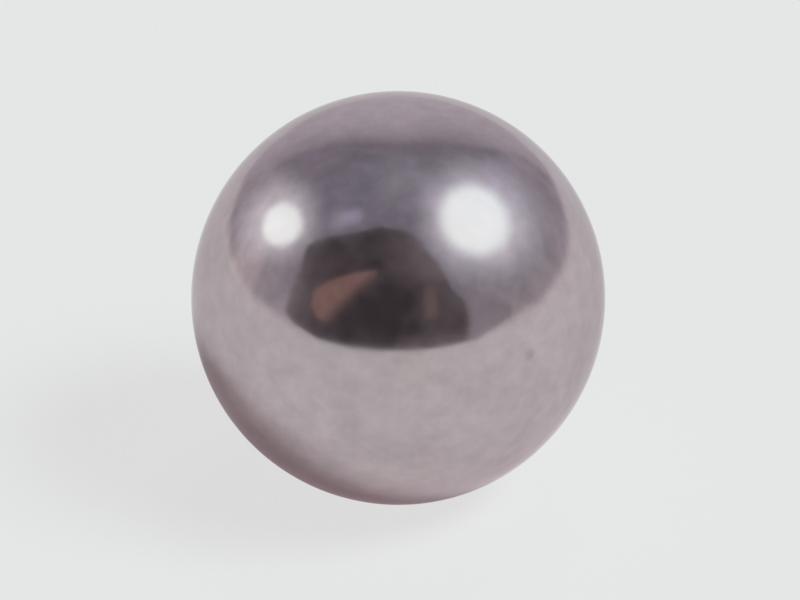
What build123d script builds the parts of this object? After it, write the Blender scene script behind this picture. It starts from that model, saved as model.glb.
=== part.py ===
from build123d import *
import os

# A loose polished steel ball, turned about +Z and centred on the origin.
# All sizes are in millimetres.

# The ball's one size: its diameter over any two opposite points.
ball_diameter = 10.0
ball_radius = ball_diameter / 2

# Ball: a half disc with its straight side on the axis, turned once round it.
with BuildPart() as ball:
    with BuildSketch(Plane.XZ):
        with BuildLine():
            outline = CenterArc((0, 0), ball_radius, start_angle=-90, arc_size=180)
            Line(outline @ 1, outline @ 0)
        make_face()
    revolve(axis=Axis.Z)

ball.part.label = "ball"

os.makedirs("parts", exist_ok=True)
export_step(ball.part, "parts/ball.step")
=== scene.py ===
# %% [markdown]
# A polished steel ball
#
# This lesson dresses one small part: a loose steel ball, ground and lapped until it is a mirror.
# A mirror has hardly any look of its own. What the eye reads as "steel" is the studio that it
# reflects, bent round a sphere, with the steel's own tint over it and a faint cloudiness from the
# lapping. So the lesson has two halves: a small studio for the ball to mirror, and the ball.

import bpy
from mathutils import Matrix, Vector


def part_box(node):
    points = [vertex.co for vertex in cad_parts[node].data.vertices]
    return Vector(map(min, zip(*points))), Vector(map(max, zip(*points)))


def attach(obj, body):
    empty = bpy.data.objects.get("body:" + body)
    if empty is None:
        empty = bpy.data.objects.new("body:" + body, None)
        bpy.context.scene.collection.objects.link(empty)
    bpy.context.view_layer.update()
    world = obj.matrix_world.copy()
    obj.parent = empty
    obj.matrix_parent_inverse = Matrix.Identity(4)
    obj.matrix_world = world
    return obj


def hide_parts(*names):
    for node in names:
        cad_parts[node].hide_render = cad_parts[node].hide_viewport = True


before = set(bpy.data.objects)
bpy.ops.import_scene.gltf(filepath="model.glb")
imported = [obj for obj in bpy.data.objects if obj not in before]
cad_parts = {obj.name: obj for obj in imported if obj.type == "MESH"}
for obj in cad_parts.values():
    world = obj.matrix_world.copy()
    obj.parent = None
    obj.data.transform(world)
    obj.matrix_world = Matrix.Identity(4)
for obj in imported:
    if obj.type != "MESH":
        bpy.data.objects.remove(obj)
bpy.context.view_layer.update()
MM = 0.001


# %% The modules that the lesson uses
import math

import bmesh
import bpy
from mathutils import Matrix, Vector, noise
from mathutils.geometry import intersect_line_sphere

# %% [markdown]
# Reading the ball's size
#
# The ball's centre is the origin, and its poles lie on Z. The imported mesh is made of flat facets,
# so only its two poles are sure to lie on the true sphere. The radius is taken from them.

# %% The ball's size
low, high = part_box("ball")
ball_radius = (high.z - low.z) / 2
floor_height = low.z
print("ball radius in mm:", round(ball_radius / MM, 3))

# %% [markdown]
# Directions in the studio
#
# Everything that the ball mirrors is far away compared with its 5 mm radius, so it is easiest to
# say where a thing is by the direction in which the ball sees it: an azimuth round the ball and
# an elevation above the floor. Azimuth 0 is the camera's side and 90 is to the camera's right.

# %% A direction
def direction(azimuth, elevation):
    turn = math.radians(azimuth)
    rise = math.radians(elevation)
    return Vector((
        math.sin(turn) * math.cos(rise),
        -math.cos(turn) * math.cos(rise),
        math.sin(rise),
    ))


def azimuth_and_elevation(towards):
    azimuth = math.degrees(math.atan2(towards.x, -towards.y))
    elevation = math.degrees(math.asin(towards.z))
    return round(azimuth, 1), round(elevation, 1)


# %% [markdown]
# The camera
#
# A long lens from 0.2 m away keeps the ball's outline a clean circle. The photograph gives the
# circle's centre and radius in pixels, and the lens follows from them: it is the one that makes
# a sphere of this radius, at this distance, exactly that large. The shift is under three pixels,
# because the ball isn't quite in the middle of the picture.

# %% The camera
photo_width, photo_height = 800, 600
ball_in_photo_x, ball_in_photo_y = 398.2, 297.9
ball_in_photo_radius = 207.0
camera_elevation = 27.5
camera_distance = 0.2
camera_sees_from, camera_sees_to = 0.01, 10.0
sensor_width = 36.0
towards_camera = direction(0, camera_elevation)
camera_place = towards_camera * camera_distance


def make_camera():
    half_angle = math.asin(ball_radius / camera_distance)
    focal_pixels = ball_in_photo_radius / math.tan(half_angle)
    data = bpy.data.cameras.new("camera")
    data.sensor_width = sensor_width
    data.lens = focal_pixels * sensor_width / photo_width
    data.shift_x = (photo_width / 2 - ball_in_photo_x) / photo_width
    data.shift_y = (ball_in_photo_y - photo_height / 2) / photo_width
    data.clip_start = camera_sees_from
    data.clip_end = camera_sees_to
    camera = bpy.data.objects.new("camera", data)
    bpy.context.scene.collection.objects.link(camera)
    camera.location = camera_place
    camera.rotation_euler = (-towards_camera).to_track_quat("-Z", "Y").to_euler()
    return camera


camera = make_camera()
bpy.context.scene.camera = camera
print("lens in mm:", round(camera.data.lens, 1))

# %% [markdown]
# The mirror law
#
# The camera looks through a pixel along one ray. The ray meets the ball at one place, the ball
# faces one way there, and the ray is thrown back about that way. So each pixel also stands for
# one direction in the studio. With this law a lamp is placed where its highlight lies in the
# photograph, instead of by trying. The ray is followed from the camera's true place, because
# even 0.2 m from a 5 mm ball the rays aren't quite parallel.

# %% From a pixel to the ball and to the studio
camera_right = Vector((1, 0, 0))
camera_up = towards_camera.cross(camera_right)
limb_slope = math.tan(math.asin(ball_radius / camera_distance))


def view_ray(pixel_x, pixel_y):
    """The way the camera looks through a pixel of the photograph."""
    across = (pixel_x - ball_in_photo_x) / ball_in_photo_radius
    up = (ball_in_photo_y - pixel_y) / ball_in_photo_radius
    return ((camera_right * across + camera_up * up) * limb_slope - towards_camera).normalized()


def facing_at(pixel_x, pixel_y):
    """The way the ball's surface faces at a pixel of the photograph."""
    far_end = camera_place + 2 * camera_distance * view_ray(pixel_x, pixel_y)
    crossings = intersect_line_sphere(camera_place, far_end, Vector(), ball_radius)
    first = min(crossings, key=lambda place: (place - camera_place).length)
    return first.normalized()


def mirrored_at(pixel_x, pixel_y):
    """The direction in the studio that the ball shows at a pixel of the photograph."""
    return view_ray(pixel_x, pixel_y).reflect(facing_at(pixel_x, pixel_y))


# %% [markdown]
# Colour and small helpers
#
# Standard view keeps a colour as it is written. The first helpers make an object from a bmesh
# and an empty node material, because every piece of the studio starts with these two steps. The
# others add the few kinds of node that the materials here are built from.

# %% View and helpers
bpy.context.scene.view_settings.view_transform = "Standard"


def object_from(mesh_in_work, name):
    data = bpy.data.meshes.new(name)
    mesh_in_work.to_mesh(data)
    mesh_in_work.free()
    made = bpy.data.objects.new(name, data)
    bpy.context.scene.collection.objects.link(made)
    return made


def empty_material(name):
    """A node material with only its output, and the two lists that nodes and wires go into."""
    material = bpy.data.materials.new(name)
    material.use_nodes = True
    nodes = material.node_tree.nodes
    nodes.clear()
    output = nodes.new("ShaderNodeOutputMaterial")
    return material, nodes, material.node_tree.links, output


def grey(level):
    return (level, level, level, 1.0)


# %% Nodes for sums
def feed(links, socket, value):
    """Sets a socket to a written value, or wires it to another node's output."""
    if isinstance(value, bpy.types.NodeSocket):
        links.new(value, socket)
    else:
        socket.default_value = value


def sum_of(nodes, links, operation, *values):
    """One Math node on up to three values."""
    node = nodes.new("ShaderNodeMath")
    node.operation = operation
    for socket, value in zip(node.inputs, values):
        feed(links, socket, value)
    return node.outputs["Value"]


def vector_sum_of(nodes, links, operation, *vectors):
    """One Vector Math node on up to three vectors. A length or a distance is a plain number."""
    node = nodes.new("ShaderNodeVectorMath")
    node.operation = operation
    for socket, vector in zip(node.inputs, vectors):
        feed(links, socket, vector)
    return node.outputs["Value" if operation in ("LENGTH", "DISTANCE") else "Vector"]


# %% Nodes for slopes and colours
def straight_step(nodes, links, value, start, end, before=0.0, after=1.0):
    """One value before a start and another after an end, with a straight slope between."""
    slope = nodes.new("ShaderNodeMapRange")
    slope.inputs["From Min"].default_value = start
    slope.inputs["From Max"].default_value = end
    slope.inputs["To Min"].default_value = before
    slope.inputs["To Max"].default_value = after
    links.new(value, slope.inputs["Value"])
    return slope.outputs["Result"]


def soft_step(nodes, links, value, start, end, before=0.0, after=1.0):
    """The same, with a slope that starts and ends softly."""
    result = straight_step(nodes, links, value, start, end, before, after)
    result.node.interpolation_type = "SMOOTHSTEP"
    return result


def between(nodes, links, share, first, second, kind="RGBA"):
    """A colour, or with kind FLOAT a number, on the way from a first one to a second."""
    mix = nodes.new("ShaderNodeMix")
    mix.data_type = kind
    links.new(share, mix.inputs["Factor"])
    feed(links, mix.inputs["A"], first)
    feed(links, mix.inputs["B"], second)
    return mix.outputs["Result"]


noise_low, noise_high = 0.3, 0.7


def noise_at(nodes, links, place, scale, detail, roughness, low_value, high_value):
    """Soft noise, stretched to run from a low to a high value."""
    texture = nodes.new("ShaderNodeTexNoise")
    texture.inputs["Scale"].default_value = scale
    texture.inputs["Detail"].default_value = detail
    texture.inputs["Roughness"].default_value = roughness
    links.new(place, texture.inputs["Vector"])
    return straight_step(
        nodes, links, texture.outputs["Fac"], noise_low, noise_high, low_value, high_value
    )


# %% Nodes for places and glows
def place_on_piece(nodes):
    return nodes.new("ShaderNodeTexCoord").outputs["Object"]


def direction_from_ball(nodes, links):
    """The direction from the ball to a place on a piece: the place, shortened to length one."""
    return vector_sum_of(nodes, links, "NORMALIZE", place_on_piece(nodes))


def split_up(nodes, links, vector):
    """A vector's three parts, by the names X, Y and Z."""
    split = nodes.new("ShaderNodeSeparateXYZ")
    links.new(vector, split.inputs["Vector"])
    return split.outputs


def glow_in(nodes, links, colour, output):
    """Makes a material glow in one colour, written or worked out by its nodes."""
    glowing = nodes.new("ShaderNodeEmission")
    feed(links, glowing.inputs["Color"], colour)
    links.new(glowing.outputs["Emission"], output.inputs["Surface"])


# %% [markdown]
# The floor
#
# A pale sheet of paper, which the ball just touches with its lowest point. There are two sheets
# in the same place, and neither lights the other. The ball mirrors the first, a matt one with the
# whole soft shadow on it, and a warm light of its own. That light stands for what the ball and
# the room throw back into the shadow, and there is a little more of it on the lamp's side. The
# camera sees the second sheet, which glows at the paper's own tone for the most part, so that the
# shadow beside the ball is there but stays light. The lamps are given as shares of the paper's
# tone, and the camera's sheet works out its glow from what they leave.

# %% The floor's light
ground_tone = 0.791
paper_albedo = 0.8
bright_paper_albedo = 0.89
own_glow_share = 0.84
thrown_back = (0.261, 0.215, 0.219, 1.0)
thrown_back_by_the_lamp = (0.293, 0.257, 0.265, 1.0)
lamp_side_from, lamp_side_to = 0.006, 0.025
even_light = 0.0675
lamp_shares = {"right_lamp_far_half": 0.288, "right_lamp_near_half": 0.135, "overhead_light": 0.065}
light_on_paper = sum(lamp_shares.values()) / paper_albedo + even_light
lit_tone = bright_paper_albedo * light_on_paper
own_glow = (ground_tone - (1 - own_glow_share) * lit_tone) / own_glow_share
print("the sheet in view glows at", round(own_glow, 3), "and is lit to", round(lit_tone, 3))

# %% The paper
def sheet_with_glow(material, nodes, links, output, joining_node, albedo, glow_colour):
    """A matt sheet and a glow, joined by one node. Returns that node."""
    sheet = nodes.new("ShaderNodeBsdfDiffuse")
    sheet.inputs["Color"].default_value = grey(albedo)
    glow = nodes.new("ShaderNodeEmission")
    feed(links, glow.inputs["Color"], glow_colour)
    both = nodes.new(joining_node)
    first, second = both.inputs[-2:]
    links.new(sheet.outputs["BSDF"], first)
    links.new(glow.outputs["Emission"], second)
    links.new(both.outputs["Shader"], output.inputs["Surface"])
    material.cycles.emission_sampling = "NONE"
    return both


def matt_paper():
    material, nodes, links, output = empty_material("matt_paper")
    across = split_up(nodes, links, place_on_piece(nodes))["X"]
    lamp_side = soft_step(nodes, links, across, lamp_side_from, lamp_side_to)
    warm = between(nodes, links, lamp_side, thrown_back, thrown_back_by_the_lamp)
    sheet_with_glow(material, nodes, links, output, "ShaderNodeAddShader", paper_albedo, warm)
    return material


def glowing_paper():
    material, nodes, links, output = empty_material("glowing_paper")
    mixed = sheet_with_glow(
        material, nodes, links, output, "ShaderNodeMixShader", bright_paper_albedo, grey(own_glow)
    )
    mixed.inputs["Fac"].default_value = own_glow_share
    return material


# %% The floor
studio_radius = 3.0
floor_segments = 128


def make_floor(name, material):
    work = bmesh.new()
    bmesh.ops.create_circle(work, cap_ends=True, segments=floor_segments, radius=studio_radius)
    bmesh.ops.translate(work, verts=work.verts, vec=(0, 0, floor_height))
    floor = object_from(work, name)
    floor.data.materials.append(material)
    floor.visible_shadow = False
    floor.visible_diffuse = False
    return floor


floor_in_the_mirror = make_floor("floor_in_the_mirror", matt_paper())
floor_in_the_mirror.visible_camera = False
floor_in_view = make_floor("floor_in_view", glowing_paper())
floor_in_view.visible_glossy = False
print("both sheets lie at a height of", round(floor_height / MM, 3), "mm")

# %% [markdown]
# The world
#
# A low camera sees past the sheet to the world behind, so the world shows the sheet's tone to
# the camera and to anything that mirrors it or lets it through, and no edge shows. For the matt
# paper the same world is a weaker grey: the even light that is left inside the ball's shadow.

# %% The world
def make_world():
    world = bpy.data.worlds.new("pale_ground")
    world.use_nodes = True
    world.cycles.sampling_method = "NONE"
    nodes = world.node_tree.nodes
    links = world.node_tree.links
    rays = nodes.new("ShaderNodeLightPath").outputs
    seen_or_mirrored = sum_of(nodes, links, "ADD", rays["Is Camera Ray"], rays["Is Glossy Ray"])
    in_the_picture = sum_of(nodes, links, "ADD", seen_or_mirrored, rays["Is Transmission Ray"])
    tone = straight_step(nodes, links, in_the_picture, 0, 1, before=even_light, after=ground_tone)
    links.new(tone, nodes["Background"].inputs["Color"])
    bpy.context.scene.world = world
    print("the world is", ground_tone, "in view and gives the paper", even_light)


make_world()

# %% [markdown]
# The light on the floor
#
# One long soft lamp on the right lights the paper. Two suns side by side stand for its halves. A
# third and weak one stands for a light overhead, a little behind the ball, and its shadow lies in
# front of the ball. An area lamp near the ball would light the paper more on its own side. A
# sun's light doesn't fall off, so the paper stays even, and its angle is how wide the lamp is in
# the sky, which sets how soft the ball's shadow is. Each strength is worked out from the share of
# the paper's tone that it gives. The ball doesn't mirror the suns. What it shows of the lamps
# comes later, as glows.

# %% The suns
suns = {
    "right_lamp_far_half": {"azimuth": 73.5, "elevation": 49.0, "half_width": 11.0},
    "right_lamp_near_half": {"azimuth": 50.5, "elevation": 48.3, "half_width": 8.0},
    "overhead_light": {"azimuth": 158.0, "elevation": 68.0, "half_width": 10.0},
}
sun_colour = (0.878, 1.0, 0.9875)


def make_sun(name, light, share):
    data = bpy.data.lights.new(name, "SUN")
    half_width = math.radians(light["half_width"])
    rise = math.sin(math.radians(light["elevation"])) * math.cos(half_width) ** 2
    data.energy = share * math.pi / (paper_albedo * rise)
    data.angle = 2 * half_width
    data.color = sun_colour
    sun = bpy.data.objects.new(name, data)
    bpy.context.scene.collection.objects.link(sun)
    towards_light = direction(light["azimuth"], light["elevation"])
    sun.rotation_euler = towards_light.to_track_quat("Z", "Y").to_euler()
    sun.visible_glossy = False
    print(name, "strength:", round(data.energy, 2))
    return sun


for sun_name, sun_light in suns.items():
    make_sun(sun_name, sun_light, lamp_shares[sun_name])

# %% [markdown]
# What only the mirror sees
#
# The rest of the studio stands round the ball, and some of it stands between the camera and the
# ball in other views. It is hidden from the camera and casts no shadow, but the ball mirrors it.
# Each piece glows at a fixed level instead of being lit, so that its tone is the one written.

# %% Pieces for the mirror
def for_the_mirror(piece):
    piece.visible_camera = False
    piece.visible_shadow = False
    piece.visible_diffuse = False
    for material in piece.data.materials:
        material.cycles.emission_sampling = "NONE"
    return piece


# %% [markdown]
# Soft glows
#
# The lamps, the light that they spill round them, and a window, a wall, a patch of ceiling and a
# few folds of cloth that catch some light are soft round glows painted on the inside of a grey
# tent. Discs hung in the room would need a see-through rim each to look this soft, and painted
# glows simply add up.
# A sphere squeezes what it mirrors towards its rim, so a lamp that looks round in the ball is
# really an oval, longer towards the camera. The mirror law gives the oval: its half sizes follow
# from the radius of the highlight in the photograph.

# %% Where a glow lies and how wide it is
def turn_towards(middle):
    """A rotation whose Z points to the middle of a glow and whose X points towards the camera."""
    along = towards_camera - middle * middle.dot(towards_camera)
    along.normalize()
    return Matrix((along, middle.cross(along), middle)).transposed().to_euler()


def half_sizes(glow):
    """The oval's two half sizes in the studio, for a round highlight of this radius in pixels."""
    squeeze = facing_at(glow["x"], glow["y"]).dot(towards_camera)
    seen = 2 * glow["radius"] / ball_in_photo_radius
    return math.sin(seen / squeeze), math.sin(seen * squeeze * glow["stretch"])


# %% The glows' light
lamp_face = (0.69, 0.90, 0.77)
right_spill = (0.52, 0.57, 0.61)
left_spill = (0.54, 0.56, 0.56)
warm_wall = (0.22, 0.20, 0.17)
lit_fold = (0.15, 0.15, 0.155)
dim_fold = (0.10, 0.095, 0.11)
cool_window = (0.20, 0.20, 0.28)
low_window = (0.18, 0.19, 0.24)
pale_ceiling = (0.09, 0.11, 0.11)


# %% The glows
def glow_at(x, y, radius, full, gone, light, stretch=1.0):
    """A soft light: its middle and radius in the photograph, and where it is full and gone."""
    return {
        "x": x, "y": y, "radius": radius, "stretch": stretch,
        "full": full, "gone": gone, "light": light,
    }


glows = {
    "right lamp": glow_at(
        x=475.2, y=219.4, radius=31.8, full=0.78, gone=1.28, light=lamp_face, stretch=1.12
    ),
    "right spill": glow_at(
        x=482.5, y=217.0, radius=33.5, full=0.80, gone=2.15, light=right_spill, stretch=1.04
    ),
    "left lamp": glow_at(
        x=281.8, y=224.3, radius=18.6, full=0.80, gone=1.28, light=lamp_face, stretch=1.10
    ),
    "left spill": glow_at(
        x=276.0, y=220.5, radius=20.0, full=0.80, gone=2.45, light=left_spill, stretch=1.15
    ),
    "left wall": glow_at(x=238.8, y=269.8, radius=16.0, full=0.0, gone=2.2, light=warm_wall),
    "inner fold": glow_at(x=431.0, y=197.0, radius=11.0, full=0.0, gone=1.8, light=lit_fold),
    "upper fold": glow_at(x=509.0, y=168.0, radius=14.0, full=0.0, gone=1.8, light=dim_fold),
    "high fold": glow_at(x=264.0, y=171.0, radius=12.0, full=0.0, gone=1.8, light=dim_fold),
    "window": glow_at(
        x=354.0, y=216.0, radius=6.5, full=0.3, gone=1.8, light=cool_window, stretch=1.3
    ),
    "low window": glow_at(
        x=341.0, y=220.5, radius=7.5, full=0.2, gone=1.8, light=low_window, stretch=1.3
    ),
    "ceiling": glow_at(
        x=405.1, y=177.8, radius=18.0, full=0.0, gone=1.9, light=pale_ceiling, stretch=1.5
    ),
}
for glow_name, glow in glows.items():
    towards_glow = mirrored_at(glow["x"], glow["y"])
    print(glow_name, "at azimuth and elevation", azimuth_and_elevation(towards_glow))

# %% One glow's nodes
# The third size of a glow's oval, along its own direction. It is short enough to keep the
# opposite direction out of the glow.
depth_scale = 0.5


def add_glow(nodes, links, ray, glow, so_far):
    """Adds a glow to the light so far: full up to one share of its oval, and gone at another."""
    turned = nodes.new("ShaderNodeMapping")
    turned.vector_type = "TEXTURE"
    turned.inputs["Rotation"].default_value = turn_towards(mirrored_at(glow["x"], glow["y"]))
    turned.inputs["Scale"].default_value = (*half_sizes(glow), depth_scale)
    links.new(ray, turned.inputs["Vector"])
    middle = (0, 0, 1 / depth_scale)
    from_middle = vector_sum_of(nodes, links, "DISTANCE", turned.outputs["Vector"], middle)
    strength = soft_step(
        nodes, links, from_middle, glow["full"], glow["gone"], before=1.0, after=0.0
    )
    return vector_sum_of(nodes, links, "MULTIPLY_ADD", strength, glow["light"], so_far)


# %% [markdown]
# The grey tent
#
# A half globe over the floor. It is lighter near the floor than overhead, as any room with pale
# ground is, and a little cooler at the top. The world could carry the same picture, but the
# camera already sees the world as the pale ground. Only the direction from the ball matters, so
# the node graph first shortens the place on the tent to length one.

# %% The tent's uneven cloth
uneven_scale = 8.0
uneven_tone = 0.33
uneven_tint = 0.10
uneven_detail = 3.0


def made_uneven(nodes, links, ray, light):
    """Cloth is never lit quite evenly: this moves its tone and, a little, its tint."""
    texture = nodes.new("ShaderNodeTexNoise")
    texture.inputs["Scale"].default_value = uneven_scale
    texture.inputs["Detail"].default_value = uneven_detail
    links.new(ray, texture.inputs["Vector"])
    spreads = {"Fac": uneven_tone, "Color": uneven_tint}
    for output_name, spread in spreads.items():
        stretch = (2 * spread, 2 * spread, 2 * spread)
        base = (1 - spread, 1 - spread, 1 - spread)
        around_one = vector_sum_of(
            nodes, links, "MULTIPLY_ADD", texture.outputs[output_name], stretch, base
        )
        light = vector_sum_of(nodes, links, "MULTIPLY", light, around_one)
    return light


# %% The tent
tent_skirt = (0.74, 0.73, 0.74, 1.0)
tent_foot = (0.45, 0.44, 0.475, 1.0)
tent_top = (0.28, 0.28, 0.33, 1.0)
skirt_from, skirt_to = 0.0, 0.08
tent_foot_at, tent_top_at = 0.0, 0.75
tent_segments, tent_rings = 64, 32


def tent_light():
    material, nodes, links, output = empty_material("grey_tent")
    towards = direction_from_ball(nodes, links)
    height = split_up(nodes, links, towards)["Z"]
    rise = soft_step(nodes, links, height, tent_foot_at, tent_top_at)
    above_skirt = soft_step(nodes, links, height, skirt_from, skirt_to)
    tone = between(nodes, links, rise, tent_foot, tent_top)
    tone = between(nodes, links, above_skirt, tent_skirt, tone)
    light = made_uneven(nodes, links, towards, tone)
    for glow in glows.values():
        light = add_glow(nodes, links, towards, glow, light)
    glow_in(nodes, links, light, output)
    return material


def make_tent():
    work = bmesh.new()
    bmesh.ops.create_uvsphere(
        work, u_segments=tent_segments, v_segments=tent_rings, radius=studio_radius
    )
    everything = work.verts[:] + work.edges[:] + work.faces[:]
    bmesh.ops.bisect_plane(
        work, geom=everything, plane_co=(0, 0, floor_height), plane_no=(0, 0, 1), clear_inner=True
    )
    tent = object_from(work, "tent")
    tent.data.shade_smooth()
    tent.data.materials.append(tent_light())
    return for_the_mirror(tent)


tent = make_tent()
print("tent faces:", len(tent.data.polygons))

# %% [markdown]
# Flat cards
#
# What has an edge in the mirror is a card: a flat upright face, cut to an outline. A glow could
# have a sharp rim too, but only an oval one, and a card takes any outline. The outline's corners
# are directions from the ball, and each corner lies where its direction meets the card's upright
# plane. A card behind the ball has a negative distance.

# %% A card
def on_upright_plane(azimuth, elevation, distance):
    """Where a direction meets the upright plane that stands in front of the ball at a distance."""
    ray = direction(azimuth, elevation)
    return ray * (distance / -ray.y)


def card(name, outline, distance, material):
    work = bmesh.new()
    corners = [work.verts.new(on_upright_plane(*corner, distance)) for corner in outline]
    work.faces.new(corners)
    bmesh.ops.triangulate(work, faces=work.faces)
    piece = object_from(work, name)
    piece.data.materials.append(material)
    print(name, "is", round(max(piece.dimensions), 2), "m across its longer side")
    return for_the_mirror(piece)


# %% [markdown]
# The pale backdrop
#
# A sheet of pale paper with a rounded top hangs behind the ball. The ball shows it as the pale
# cap at its top and down its sides. Its light and shade are painted into its glow: the sheet is
# brightest in the middle near the floor, and it gets darker towards its sides, and faster towards
# its top, where its dark upper edge is the thin line under the cap. The graph works this out from
# the place on the sheet, in metres.

# %% The backdrop
backdrop_outline = [
    (148, 0), (147.5, 20), (147, 35), (147.5, 46), (150.5, 54.5), (160, 59), (170, 61), (180, 61.5),
    (-168, 60), (-156, 55), (-147, 44), (-144, 32), (-144.5, 20), (-146, 0),
]
backdrop_distance = -1.0
backdrop_foot = (0.70, 0.69, 0.735, 1.0)
backdrop_top = (0.28, 0.265, 0.31, 1.0)
side_fade, height_fade, corner_fade = 0.72, 0.36, 0.35
middle_softness = 0.15


def backdrop_light():
    """Painted shade: darker to each side of the middle, and with the square of the height."""
    material, nodes, links, output = empty_material("hanging_paper")
    place = split_up(nodes, links, place_on_piece(nodes))
    rounded = nodes.new("ShaderNodeCombineXYZ")
    rounded.inputs["Y"].default_value = middle_softness
    links.new(place["X"], rounded.inputs["X"])
    aside = vector_sum_of(nodes, links, "LENGTH", rounded.outputs["Vector"])
    past_the_middle = sum_of(nodes, links, "SUBTRACT", aside, middle_softness)
    steepness = sum_of(nodes, links, "MULTIPLY_ADD", place["Z"], corner_fade, side_fade)
    sideways = sum_of(nodes, links, "MULTIPLY", past_the_middle, steepness)
    height_squared = sum_of(nodes, links, "MULTIPLY", place["Z"], place["Z"])
    darkness = sum_of(nodes, links, "MULTIPLY_ADD", height_squared, height_fade, sideways)
    glow_in(nodes, links, between(nodes, links, darkness, backdrop_foot, backdrop_top), output)
    return material


card("backdrop", backdrop_outline, backdrop_distance, backdrop_light())

# %% [markdown]
# The dark side
#
# A mirror needs something dark to look deep, and that is what stands on the camera's side here:
# a dark cloth. Its light and shade are painted into its glow: its tone is uneven, as soft folds
# would make it, and some light falls on its two sides, along its top, on its right shoulder and
# along the right half of its hem, less of it low down on the right side. Two warm strips hang in
# front of it, one wide and one narrow, and bring a little colour into the dark. A grey card
# beside it, on the right, is half way between the cloth and the tent.

# %% The dark cloth's outline and light
cloth_outline = [
    (-44, -1), (-58, 2), (-65, 5), (-63, 16), (-66, 27), (-72, 38), (-69, 43), (-56, 52), (-42, 59),
    (-23, 65.5), (6, 64.5), (20, 59.5), (23.5, 53), (30, 45), (32, 37), (34, 28), (40, 20), (40, 10),
    (38, 3), (37, -1),
]
cloth_distance = 0.22
cloth_dark = (0.063, 0.057, 0.059, 1.0)
cloth_light = (0.262, 0.240, 0.255, 1.0)
right_side_from, right_side_to, right_side_share = 0.06, 0.40, 0.46
left_side_from, left_side_to = -0.50, -1.05
right_half_from, right_half_to = -0.15, 0.03
shoulder_from, shoulder_to, shoulder_share = 0.55, 0.72, 0.32
upper_from, upper_to, upper_share = 0.5, 0.62, 0.13
hem_from, hem_to, hem_share = 0.17, 0.0, 0.50
low_part_top, low_part_share = 0.5, 0.25
folds_per_unit = 6.0
fold_detail, fold_roughness = 3.0, 0.6
fold_strength = 0.36


# %% The dark cloth
def light_on_cloth(nodes, links, towards):
    """How far the cloth's tone lies from its dark to its light one, in each direction."""
    split = split_up(nodes, links, towards)
    across, height = split["X"], split["Z"]
    right_side = soft_step(nodes, links, across, right_side_from, right_side_to, after=right_side_share)
    full_above = straight_step(nodes, links, height, 0, low_part_top, before=low_part_share)
    right_half = soft_step(nodes, links, across, right_half_from, right_half_to)
    shoulder = soft_step(nodes, links, height, shoulder_from, shoulder_to, after=shoulder_share)
    hem = soft_step(nodes, links, height, hem_from, hem_to, after=hem_share)
    lights = [
        sum_of(nodes, links, "MULTIPLY", right_side, full_above),
        soft_step(nodes, links, across, left_side_from, left_side_to),
        sum_of(nodes, links, "MULTIPLY", shoulder, right_half),
        soft_step(nodes, links, height, upper_from, upper_to, after=upper_share),
        sum_of(nodes, links, "MULTIPLY", hem, right_half),
    ]
    light = noise_at(
        nodes, links, towards, folds_per_unit, fold_detail, fold_roughness,
        -fold_strength / 2, fold_strength / 2,
    )
    for more in lights:
        light = sum_of(nodes, links, "ADD", light, more)
    return light


def cloth_tone():
    material, nodes, links, output = empty_material("dark_cloth_tone")
    light = light_on_cloth(nodes, links, direction_from_ball(nodes, links))
    glow_in(nodes, links, between(nodes, links, light, cloth_dark, cloth_light), output)
    return material


card("dark_cloth", cloth_outline, cloth_distance, cloth_tone())

# %% The strips and the grey card
strip_distance = 0.2
wide_strip_outline = [
    (-52, 22), (-51, 14), (-46, 9.5), (-39, 8.5), (-25, 20), (-15, 34), (-15.5, 41.5), (-31, 37.5),
    (-45, 29.5),
]
wide_strip_slant = 42.0
wide_strip_full, wide_strip_gone = -0.182, -0.130
wide_strip_tone = (0.32, 0.215, 0.19, 1.0)
narrow_strip_outline = [(15.5, 16), (22, 15), (24, 29), (20, 33), (16, 31)]
narrow_strip_tone = (0.21, 0.165, 0.155, 1.0)
wing_distance = 0.23
grey_wing_outline = [
    (36, -1), (36, 24), (46, 24), (54, 19), (62, 13), (66, 8), (65, 4), (58, 2.5), (50, 1), (44, -1),
]
grey_wing_tone = (0.34, 0.33, 0.36, 1.0)


def plain_tone(name, tone):
    material, nodes, links, output = empty_material(name)
    glow_in(nodes, links, tone, output)
    return material


def fading_tone(name, tone):
    """A tone that fades out towards the strip's lower side, where it turns away from the light."""
    material, nodes, links, output = empty_material(name)
    turned = nodes.new("ShaderNodeVectorRotate")
    turned.rotation_type = "Y_AXIS"
    turned.inputs["Angle"].default_value = math.radians(-wide_strip_slant)
    links.new(place_on_piece(nodes), turned.inputs["Vector"])
    across_strip = split_up(nodes, links, turned.outputs["Vector"])["X"]
    glowing = nodes.new("ShaderNodeEmission")
    glowing.inputs["Color"].default_value = tone
    clear = nodes.new("ShaderNodeBsdfTransparent")
    mixed = nodes.new("ShaderNodeMixShader")
    faded = soft_step(nodes, links, across_strip, wide_strip_full, wide_strip_gone)
    links.new(faded, mixed.inputs["Fac"])
    links.new(glowing.outputs["Emission"], mixed.inputs[1])
    links.new(clear.outputs["BSDF"], mixed.inputs[2])
    links.new(mixed.outputs["Shader"], output.inputs["Surface"])
    return material


card("grey_wing", grey_wing_outline, wing_distance, plain_tone("grey_wing_tone", grey_wing_tone))
card(
    "wide_warm_strip", wide_strip_outline, strip_distance,
    fading_tone("wide_strip_tone", wide_strip_tone),
)
card(
    "narrow_warm_strip", narrow_strip_outline, strip_distance,
    plain_tone("narrow_strip_tone", narrow_strip_tone),
)

# %% [markdown]
# The ball's mesh
#
# A lapped ball has no poles and no seam, since it is ground in every direction at once. An
# icosphere is the right start, because its triangles are all alike and no pole pinches the
# reflections. One tiny corrosion pit shows on the lower right, where the mesh is made finer.

# %% Where the pit lies, and a finer mesh there
pit_in_photo_x, pit_in_photo_y = 530, 355
pit_radius = 0.20 * MM
pit_middle = facing_at(pit_in_photo_x, pit_in_photo_y) * ball_radius
print("the pit lies at azimuth and elevation", azimuth_and_elevation(pit_middle.normalized()))


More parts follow.
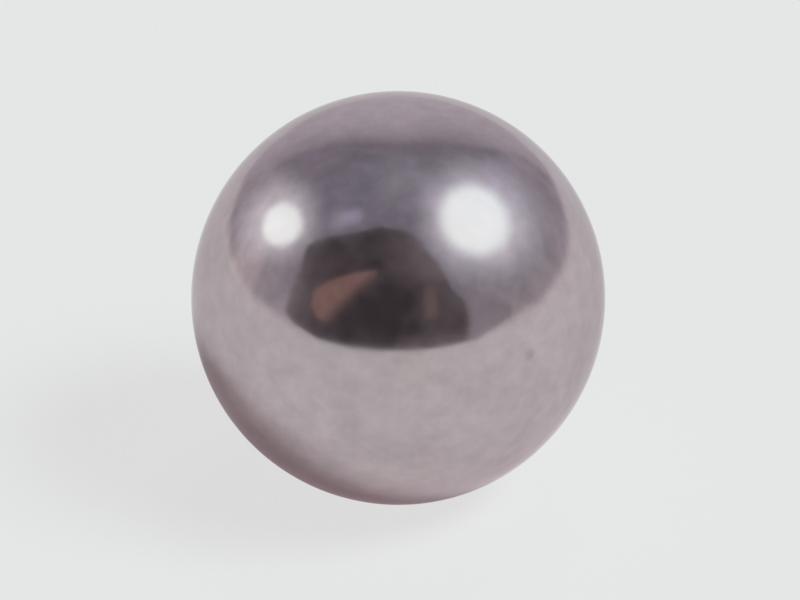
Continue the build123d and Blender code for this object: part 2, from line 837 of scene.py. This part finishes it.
def refine_near(work, middle, reach):
    """Splits the faces near a place in four and brings the new corners out to the sphere."""
    close = [edge for edge in work.edges if any((v.co - middle).length < reach for v in edge.verts)]
    bmesh.ops.subdivide_edges(work, edges=close, cuts=1, use_grid_fill=True)
    bmesh.ops.triangulate(work, faces=[face for face in work.faces if len(face.verts) > 3])
    for vertex in work.verts:
        vertex.co = vertex.co.normalized() * ball_radius


# %% [markdown]
# Waviness and the pit
#
# Lapping leaves a ball round to about a thousandth of a millimetre, and the rest is a slight
# waviness. It is far too small to see as a shape, but a mirror shows slopes, so it makes the
# edges in the reflection a little uneven. A bump map is stored in steps that are coarser than
# these slopes, so the waviness goes into the mesh itself, with the smooth noise of mathutils.

# %% Waviness and the pit
wave_length = 0.9 * MM
wave_depth = 0.0010 * MM
wave_fineness, wave_lacunarity, wave_octaves = 0.6, 2.0, 2
pit_depth = 0.005 * MM


def wavy_radius(place):
    wave = noise.fractal(place / wave_length, wave_fineness, wave_lacunarity, wave_octaves)
    return ball_radius + wave_depth * wave


def pit_sink(place):
    """How deep the pit is at a place: a round-bottomed bowl that fades out at its rim."""
    share = (place - pit_middle).length / pit_radius
    if share >= 1:
        return 0.0
    return pit_depth * (1 - share ** 2) ** 2


# %% The ball
ball_subdivisions = 7
pit_refinements = 2
finer_reach, finer_reach_step = 2.2, 0.7


def make_ball():
    work = bmesh.new()
    bmesh.ops.create_icosphere(work, subdivisions=ball_subdivisions, radius=ball_radius)
    for step in range(pit_refinements):
        refine_near(work, pit_middle, pit_radius * (finer_reach - finer_reach_step * step))
    for vertex in work.verts:
        outwards = vertex.co.normalized()
        vertex.co = outwards * (wavy_radius(vertex.co) - pit_sink(vertex.co))
    bmesh.ops.recalc_face_normals(work, faces=work.faces)
    ball = object_from(work, "polished_ball")
    ball.data.shade_smooth()
    return ball


ball = make_ball()
radii = [vertex.co.length / MM for vertex in ball.data.vertices]
print("ball triangles:", len(ball.data.polygons))
print("ball radius from", round(min(radii), 4), "to", round(max(radii), 4), "mm")

# %% [markdown]
# The steel
#
# Hardened chrome steel isn't neutral: under soft light it is slightly darker and pinker than
# chrome plate. The shader's own metal model makes it brighter towards the rim. A faint cloud of
# two sizes, from the lapping and from handling, moves its tone by a few hundredths and its
# roughness with it. The cloud could be painted on a picture wrapped round the ball, but noise in
# the ball's own space has no seam. The photograph shows both highlights quite clean, so the film
# is thin on those two places. All patterns read Object coordinates, in which one unit is one
# metre, so a Mapping node brings them to millimetres first.

# %% The steel's values
steel_tint = (0.525, 0.455, 0.48, 1.0)
warm_film_tint = (0.540, 0.456, 0.472, 1.0)
rim_tint = (0.82, 0.78, 0.80, 1.0)
per_mm = 1 / MM
cloud_per_mm = 0.9
grain_per_mm = 2.6
film_per_mm = 0.35
cloud_from, cloud_to = 0.955, 1.045
grain_from, grain_to = 0.94, 1.06
cloud_detail, grain_detail, film_detail = 2.0, 3.0, 1.0
noise_roughness = 0.55
smooth_steel, cloudy_steel = 0.10, 0.15
clean_to, film_from = 0.7, 1.5
film_on_clean_place = 0.2
pit_tone = 0.86
pit_roughness = 0.35
pit_full, pit_gone = 0.3, 1.1


# %% Places on the steel
def near(nodes, links, place, middle, start, end, inside, outside):
    """One value near a place on the ball and another beyond, with a soft rim between."""
    gap = vector_sum_of(nodes, links, "DISTANCE", place, middle / MM)
    return soft_step(nodes, links, gap, start / MM, end / MM, before=inside, after=outside)


def near_the_pit(nodes, links, place, inside, outside):
    start, end = pit_full * pit_radius, pit_gone * pit_radius
    return near(nodes, links, place, pit_middle, start, end, inside, outside)


def near_a_highlight(nodes, links, place, lamp):
    """How much of the film is left where a lamp's highlight lies, and all of it beyond."""
    middle = facing_at(lamp["x"], lamp["y"]) * ball_radius
    reach = lamp["radius"] / ball_in_photo_radius * ball_radius
    return near(
        nodes, links, place, middle, clean_to * reach, film_from * reach, film_on_clean_place, 1.0
    )


# %% The steel's colour
def pattern(nodes, links, place, scale, detail, low_value, high_value):
    return noise_at(nodes, links, place, scale, detail, noise_roughness, low_value, high_value)


def steel_colour(nodes, links, place):
    """The steel's tint, moved a little by the clouds, the grain, the film and the pit."""
    cloud = pattern(nodes, links, place, cloud_per_mm, cloud_detail, cloud_from, cloud_to)
    grain = pattern(nodes, links, place, grain_per_mm, grain_detail, grain_from, grain_to)
    cloudiness = sum_of(nodes, links, "MULTIPLY", cloud, grain)
    by_right_lamp = near_a_highlight(nodes, links, place, glows["right lamp"])
    by_left_lamp = near_a_highlight(nodes, links, place, glows["left lamp"])
    film_left = sum_of(nodes, links, "MULTIPLY", by_right_lamp, by_left_lamp)
    level = between(nodes, links, film_left, 1.0, cloudiness, kind="FLOAT")
    level = sum_of(nodes, links, "MULTIPLY", level, near_the_pit(nodes, links, place, pit_tone, 1.0))
    film = pattern(nodes, links, place, film_per_mm, film_detail, 0.0, 1.0)
    tint = between(nodes, links, film, steel_tint, warm_film_tint)
    return vector_sum_of(nodes, links, "MULTIPLY", tint, level)


# %% The steel
def polished_steel():
    material, nodes, links, output = empty_material("polished_steel")
    millimetres = nodes.new("ShaderNodeMapping")
    millimetres.inputs["Scale"].default_value = (per_mm, per_mm, per_mm)
    links.new(place_on_piece(nodes), millimetres.inputs["Vector"])
    place = millimetres.outputs["Vector"]
    lapped = pattern(nodes, links, place, cloud_per_mm, cloud_detail, smooth_steel, cloudy_steel)
    pitted = near_the_pit(nodes, links, place, pit_roughness, 0.0)
    steel = nodes.new("ShaderNodeBsdfPrincipled")
    steel.inputs["Metallic"].default_value = 1.0
    steel.inputs["Specular Tint"].default_value = rim_tint
    links.new(steel_colour(nodes, links, place), steel.inputs["Base Color"])
    links.new(sum_of(nodes, links, "MAXIMUM", lapped, pitted), steel.inputs["Roughness"])
    links.new(steel.outputs["BSDF"], output.inputs["Surface"])
    return material


ball.data.materials.append(polished_steel())
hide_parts("ball")
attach(ball, "root")
print("nodes in the steel:", len(ball.active_material.node_tree.nodes))
